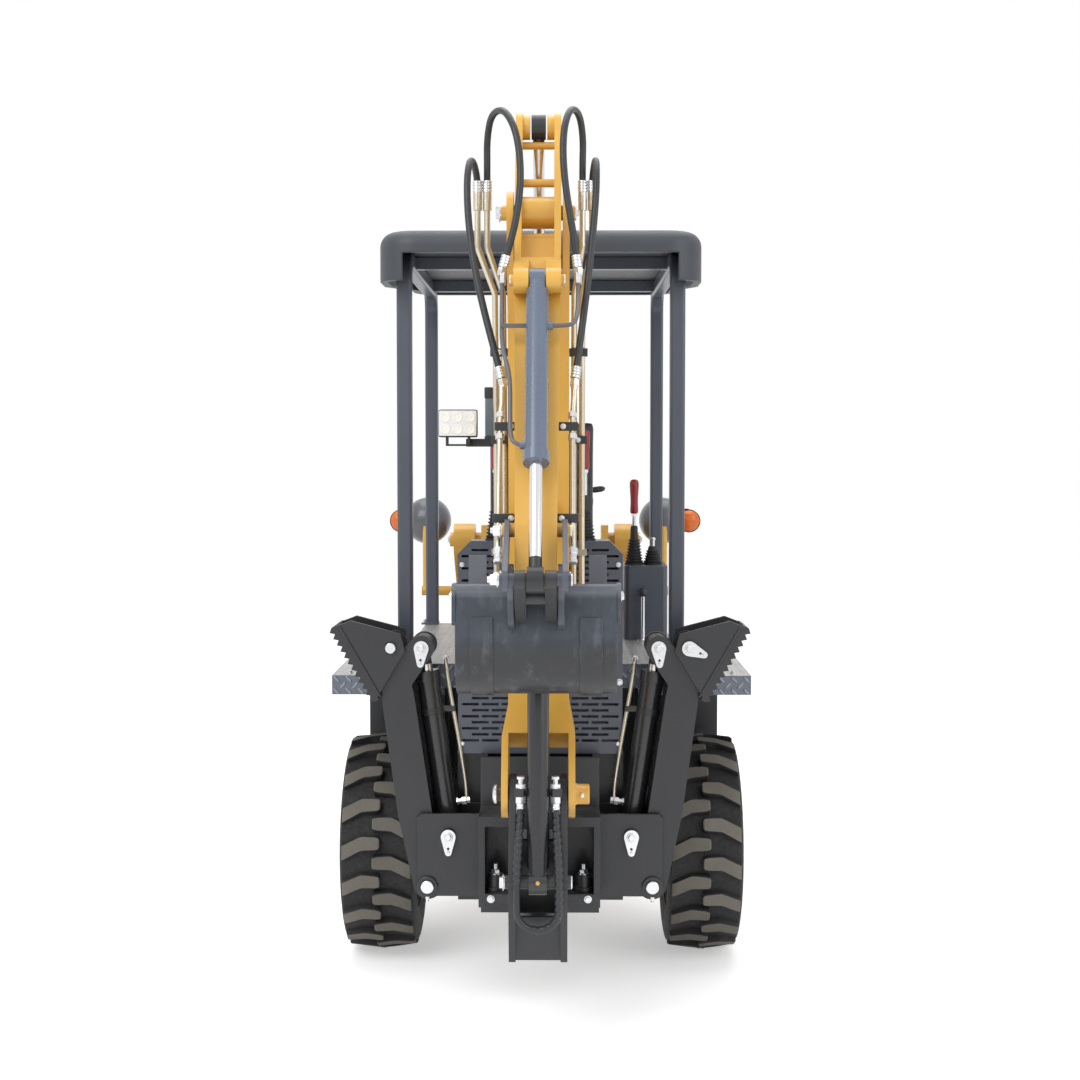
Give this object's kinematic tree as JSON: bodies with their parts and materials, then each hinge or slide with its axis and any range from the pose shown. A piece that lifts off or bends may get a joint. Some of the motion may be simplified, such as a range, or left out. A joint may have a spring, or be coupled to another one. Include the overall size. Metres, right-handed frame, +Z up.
{
  "type": "backhoe loader",
  "caption": "Compact articulated backhoe loader: canopy over a central seat, front loader bucket, rear digging arm folded up, stabiliser legs raised.",
  "frame": {"origin": "on the ground, at the middle of the machine's length and width", "axes": "+X to the machine's right, +Y forward towards the loader bucket, +Z up"},
  "size_m": [1.43, 4.813, 2.787],
  "materials": {
    "yellow_paint": "gloss paint",
    "black_paint": "satin paint",
    "post_paint": "satin paint",
    "grey_paint": "satin paint",
    "cast_iron": "rough",
    "tread_plate": "raised tread",
    "roof_plastic": "moulded",
    "dark_plastic": "moulded",
    "rubber": "moulded",
    "red_plastic": "moulded",
    "seat_vinyl": "vinyl",
    "amber_lens": "moulded",
    "chrome": "polished",
    "zinc": "zinc plated",
    "tyre": "moulded",
    "hose": "smooth"
  },
  "bodies": {
    "rear_frame": {"rear_chassis": "black_paint", "side_covers": "black_paint", "backhoe_frame": "black_paint", "rear_axle": "black_paint", "engine_block": "cast_iron", "operator_deck": "tread_plate", "rear_fenders": "black_paint", "canopy_posts": "post_paint", "canopy_roof": "roof_plastic", "control_tower": "black_paint", "consoles": "dark_plastic", "steering_wheel": "dark_plastic", "seat_pedestal": "black_paint", "lever_boots": "rubber", "lever_grips": "red_plastic"},
    "seat": {"seat_cushion": "seat_vinyl", "seat_back": "seat_vinyl"},
    "front_frame": {"front_chassis": "yellow_paint", "front_axle": "black_paint", "headlamps": "dark_plastic", "turn_lamps": "amber_lens", "lamp_brackets": "black_paint"},
    "rear_left_wheel": {"rear_left_tyre": "tyre", "rear_left_rim": "yellow_paint"},
    "rear_right_wheel": {"rear_right_tyre": "tyre", "rear_right_rim": "yellow_paint"},
    "front_left_wheel": {"front_left_tyre": "tyre", "front_left_rim": "yellow_paint"},
    "front_right_wheel": {"front_right_tyre": "tyre", "front_right_rim": "yellow_paint"},
    "lift_arms": {"lift_arms": "yellow_paint"},
    "loader_bucket": {"loader_bucket": "black_paint"},
    "lift_barrels": {"lift_barrels": "black_paint"},
    "lift_rods": {"lift_rods": "chrome"},
    "tilt_barrels": {"tilt_barrels": "black_paint"},
    "tilt_rods": {"tilt_rods": "chrome"},
    "swing_post": {"swing_post": "black_paint", "boom_hoses": "hose"},
    "stick": {"stick": "yellow_paint"},
    "hoe_bucket": {"hoe_bucket": "black_paint"},
    "rocker_link": {"rocker_link": "grey_paint"},
    "bucket_link": {"bucket_link": "black_paint"},
    "boom_barrel": {"boom_barrel": "black_paint"},
    "boom_rod": {"boom_rod": "chrome"},
    "stick_barrel": {"stick_barrel": "black_paint"},
    "stick_rod": {"stick_rod": "chrome"},
    "hoe_barrel": {"hoe_barrel": "black_paint"},
    "hoe_rod": {"hoe_rod": "chrome"},
    "boom": {"boom": "yellow_paint", "boom_pipes": "zinc", "work_lamp": "dark_plastic", "stick_hoses": "hose"},
    "left_leg": {"left_leg": "black_paint"},
    "left_foot": {"left_foot": "black_paint"},
    "left_leg_barrel": {"left_leg_barrel": "black_paint"},
    "left_leg_rod": {"left_leg_rod": "chrome"},
    "right_leg": {"right_leg": "black_paint"},
    "right_foot": {"right_foot": "black_paint"},
    "right_leg_barrel": {"right_leg_barrel": "black_paint"},
    "right_leg_rod": {"right_leg_rod": "chrome"}
  },
  "joints": [
    {"name": "steering_joint", "type": "hinge", "parent": "rear_frame", "child": "front_frame", "pos_m": [0, 0.396, 0.47], "axis": [0, 0, 1], "range_deg": [-36, 36]},
    {"name": "rear_left_wheel_turn", "type": "hinge", "parent": "rear_frame", "child": "rear_left_wheel", "pos_m": [-0.568, -0.479, 0.387], "axis": [-1, 0, 0], "continuous": true},
    {"name": "rear_right_wheel_turn", "type": "hinge", "parent": "rear_frame", "child": "rear_right_wheel", "pos_m": [0.568, -0.479, 0.387], "axis": [-1, 0, 0], "continuous": true},
    {"name": "front_left_wheel_turn", "type": "hinge", "parent": "front_frame", "child": "front_left_wheel", "pos_m": [-0.568, 1.271, 0.387], "axis": [-1, 0, 0], "continuous": true},
    {"name": "front_right_wheel_turn", "type": "hinge", "parent": "front_frame", "child": "front_right_wheel", "pos_m": [0.568, 1.271, 0.387], "axis": [-1, 0, 0], "continuous": true},
    {"name": "seat_turn", "type": "hinge", "parent": "rear_frame", "child": "seat", "pos_m": [0, -0.499, 1.43], "axis": [0, 0, 1], "range_deg": [0, 180]},
    {"name": "lift", "type": "hinge", "parent": "front_frame", "child": "lift_arms", "pos_m": [0, 0.651, 1.42], "axis": [1, 0, 0], "range_deg": [0, 72]},
    {"name": "tilt", "type": "hinge", "parent": "lift_arms", "child": "loader_bucket", "pos_m": [0, 1.761, 0.2], "axis": [-1, 0, 0], "range_deg": [-25, 110]},
    {"name": "lift_barrel_turn", "type": "hinge", "parent": "front_frame", "child": "lift_barrels", "pos_m": [0, 0.621, 0.43], "axis": [1, 0, 0], "range_deg": [-2, 5.98]},
    {"name": "lift_rod_slide", "type": "slide", "parent": "lift_barrels", "child": "lift_rods", "axis": [0, 0.4138, 0.9104], "range_m": [-0.002, 0.49897]},
    {"name": "tilt_barrel_turn", "type": "hinge", "parent": "lift_arms", "child": "tilt_barrels", "pos_m": [0, 1.001, 1], "axis": [1, 0, 0], "range_deg": [-4.8, 2.64]},
    {"name": "tilt_rod_slide", "type": "slide", "parent": "tilt_barrels", "child": "tilt_rods", "axis": [0, 0.8041, -0.5946], "range_m": [-0.10537, 0.45682]},
    {"name": "swing", "type": "hinge", "parent": "rear_frame", "child": "swing_post", "pos_m": [0, -1.559, 0.55], "axis": [0, 0, 1], "range_deg": [-90, 90]},
    {"name": "boom", "type": "hinge", "parent": "swing_post", "child": "boom", "pos_m": [0, -1.679, 0.79], "axis": [1, 0, 0], "range_deg": [0, 108]},
    {"name": "stick", "type": "hinge", "parent": "boom", "child": "stick", "pos_m": [0, -1.709, 2.48], "axis": [-1, 0, 0], "range_deg": [0, 105], "deforming": ["stick_hoses"]},
    {"name": "hoe_curl", "type": "hinge", "parent": "stick", "child": "hoe_bucket", "pos_m": [0, -2.234, 1.468], "axis": [-1, 0, 0], "range_deg": [0, 150]},
    {"name": "boom_barrel_turn", "type": "hinge", "parent": "swing_post", "child": "boom_barrel", "pos_m": [0, -1.809, 0.56], "axis": [1, 0, 0], "range_deg": [-2, 99.5]},
    {"name": "boom_rod_slide", "type": "slide", "parent": "boom_barrel", "child": "boom_rod", "axis": [0, 0.1687, 0.9857], "range_m": [-0.40144, 0.002]},
    {"name": "stick_barrel_turn", "type": "hinge", "parent": "boom", "child": "stick_barrel", "pos_m": [0, -1.329, 1.56], "axis": [1, 0, 0], "range_deg": [-2.47, 2]},
    {"name": "stick_rod_slide", "type": "slide", "parent": "stick_barrel", "child": "stick_rod", "axis": [0, -0.2143, 0.9768], "range_m": [-0.46351, 0.002]},
    {"name": "rocker_turn", "type": "hinge", "parent": "stick", "child": "rocker_link", "pos_m": [0, -2.185, 1.588], "axis": [-1, 0, 0], "range_deg": [-2, 77.02]},
    {"name": "link_turn", "type": "hinge", "parent": "rocker_link", "child": "bucket_link", "pos_m": [0, -2.374, 1.473], "axis": [-1, 0, 0], "range_deg": [-22.36, 2]},
    {"name": "hoe_barrel_turn", "type": "hinge", "parent": "stick", "child": "hoe_barrel", "pos_m": [0, -1.917, 2.268], "axis": [1, 0, 0], "range_deg": [-11.18, 2]},
    {"name": "hoe_rod_slide", "type": "slide", "parent": "hoe_barrel", "child": "hoe_rod", "axis": [0, -0.4984, -0.867], "range_m": [-0.24002, 0.002]},
    {"name": "left_leg", "type": "hinge", "parent": "rear_frame", "child": "left_leg", "pos_m": [-0.356, -1.204, 0.419], "axis": [0, -1, 0], "range_deg": [0, 110]},
    {"name": "left_foot_turn", "type": "hinge", "parent": "left_leg", "child": "left_foot", "pos_m": [-0.47, -1.204, 1.177], "axis": [0, 1, 0], "range_deg": [0, 60]},
    {"name": "left_leg_barrel_turn", "type": "hinge", "parent": "rear_frame", "child": "left_leg_barrel", "pos_m": [-0.289, -1.204, 0.58], "axis": [0, 1, 0], "range_deg": [-113.34, 2]},
    {"name": "left_leg_rod_slide", "type": "slide", "parent": "left_leg_barrel", "child": "left_leg_rod", "axis": [-0.1433, 0, 0.9897], "range_m": [-0.002, 0.28718]},
    {"name": "right_leg", "type": "hinge", "parent": "rear_frame", "child": "right_leg", "pos_m": [0.356, -1.204, 0.419], "axis": [0, 1, 0], "range_deg": [0, 110]},
    {"name": "right_foot_turn", "type": "hinge", "parent": "right_leg", "child": "right_foot", "pos_m": [0.47, -1.204, 1.177], "axis": [0, -1, 0], "range_deg": [0, 60]},
    {"name": "right_leg_barrel_turn", "type": "hinge", "parent": "rear_frame", "child": "right_leg_barrel", "pos_m": [0.289, -1.204, 0.58], "axis": [0, -1, 0], "range_deg": [-113.34, 2]},
    {"name": "right_leg_rod_slide", "type": "slide", "parent": "right_leg_barrel", "child": "right_leg_rod", "axis": [0.1433, 0, 0.9897], "range_m": [-0.002, 0.28718]}
  ],
  "couplings": [
    {"joint": "lift_barrel_turn", "follows": "lift", "ratio": 0.055231},
    {"joint": "lift_rod_slide", "follows": "lift", "m_per_rad": 0.39547},
    {"joint": "tilt_barrel_turn", "follows": "tilt", "ratio": -0.025484},
    {"joint": "tilt_rod_slide", "follows": "tilt", "m_per_rad": 0.2369},
    {"joint": "boom_barrel_turn", "follows": "boom", "ratio": 0.90275},
    {"joint": "boom_rod_slide", "follows": "boom", "m_per_rad": -0.21191},
    {"joint": "stick_barrel_turn", "follows": "stick", "ratio": -0.004459},
    {"joint": "stick_rod_slide", "follows": "stick", "m_per_rad": -0.25184},
    {"joint": "rocker_turn", "follows": "hoe_curl", "ratio": 0.50016},
    {"joint": "link_turn", "follows": "hoe_curl", "ratio": -0.13571},
    {"joint": "hoe_barrel_turn", "follows": "hoe_curl", "ratio": -0.061186},
    {"joint": "hoe_rod_slide", "follows": "hoe_curl", "m_per_rad": -0.090917},
    {"joint": "left_leg_barrel_turn", "follows": "left_leg", "ratio": -1.0122},
    {"joint": "left_leg_rod_slide", "follows": "left_leg", "m_per_rad": 0.14854},
    {"joint": "right_leg_barrel_turn", "follows": "right_leg", "ratio": -1.0122},
    {"joint": "right_leg_rod_slide", "follows": "right_leg", "m_per_rad": 0.14854}
  ]
}
